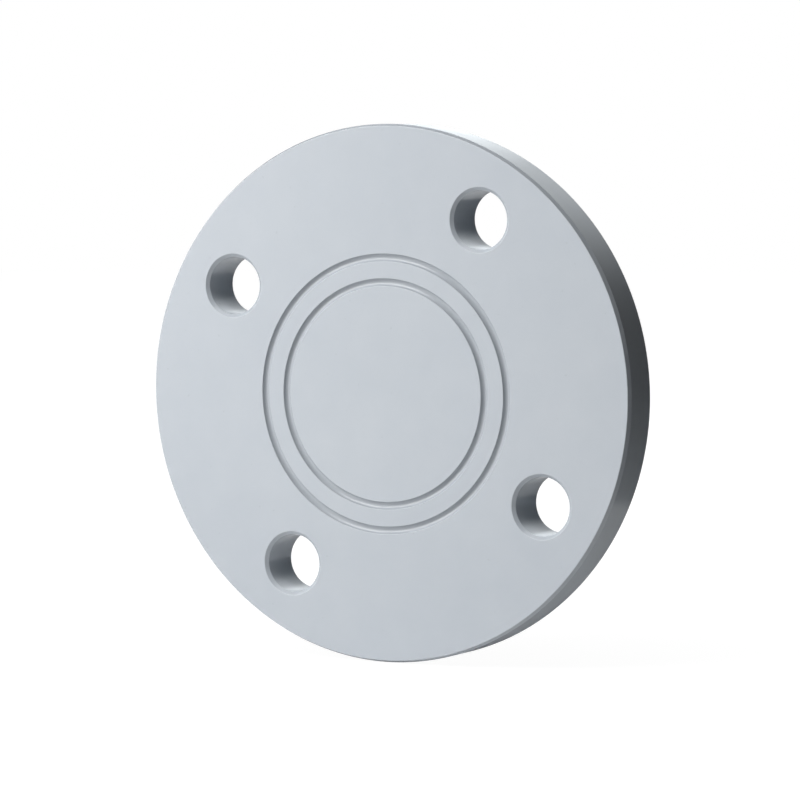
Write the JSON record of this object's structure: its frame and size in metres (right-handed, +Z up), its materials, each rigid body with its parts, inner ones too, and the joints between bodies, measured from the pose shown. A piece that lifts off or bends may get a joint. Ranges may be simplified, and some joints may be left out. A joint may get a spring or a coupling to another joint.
{
  "type": "blind flange",
  "caption": "Round flat plastic plate with a bolt circle and a grooved sealing face, bolted on to close the end of a flanged pipe or valve.",
  "frame": {"origin": "centre of the flat sealing face, on the plate's axis", "axes": "-Y out of the sealing face, towards the pipe it closes; +Y through the plate to its back; +Z up and +X to the right as seen facing the sealing face. The plate stands upright, and its bolt holes are at 58.8 degrees from +X towards +Z and every quarter turn after that."},
  "size_m": [0.165, 0.016, 0.165],
  "materials": {
    "light_grey_plastic": "semi-gloss moulded light grey PVC-C, faintly bluish, with a very fine grain"
  },
  "bodies": {
    "root": {"blind_flange_plate": "light_grey_plastic"}
  },
  "joints": []
}
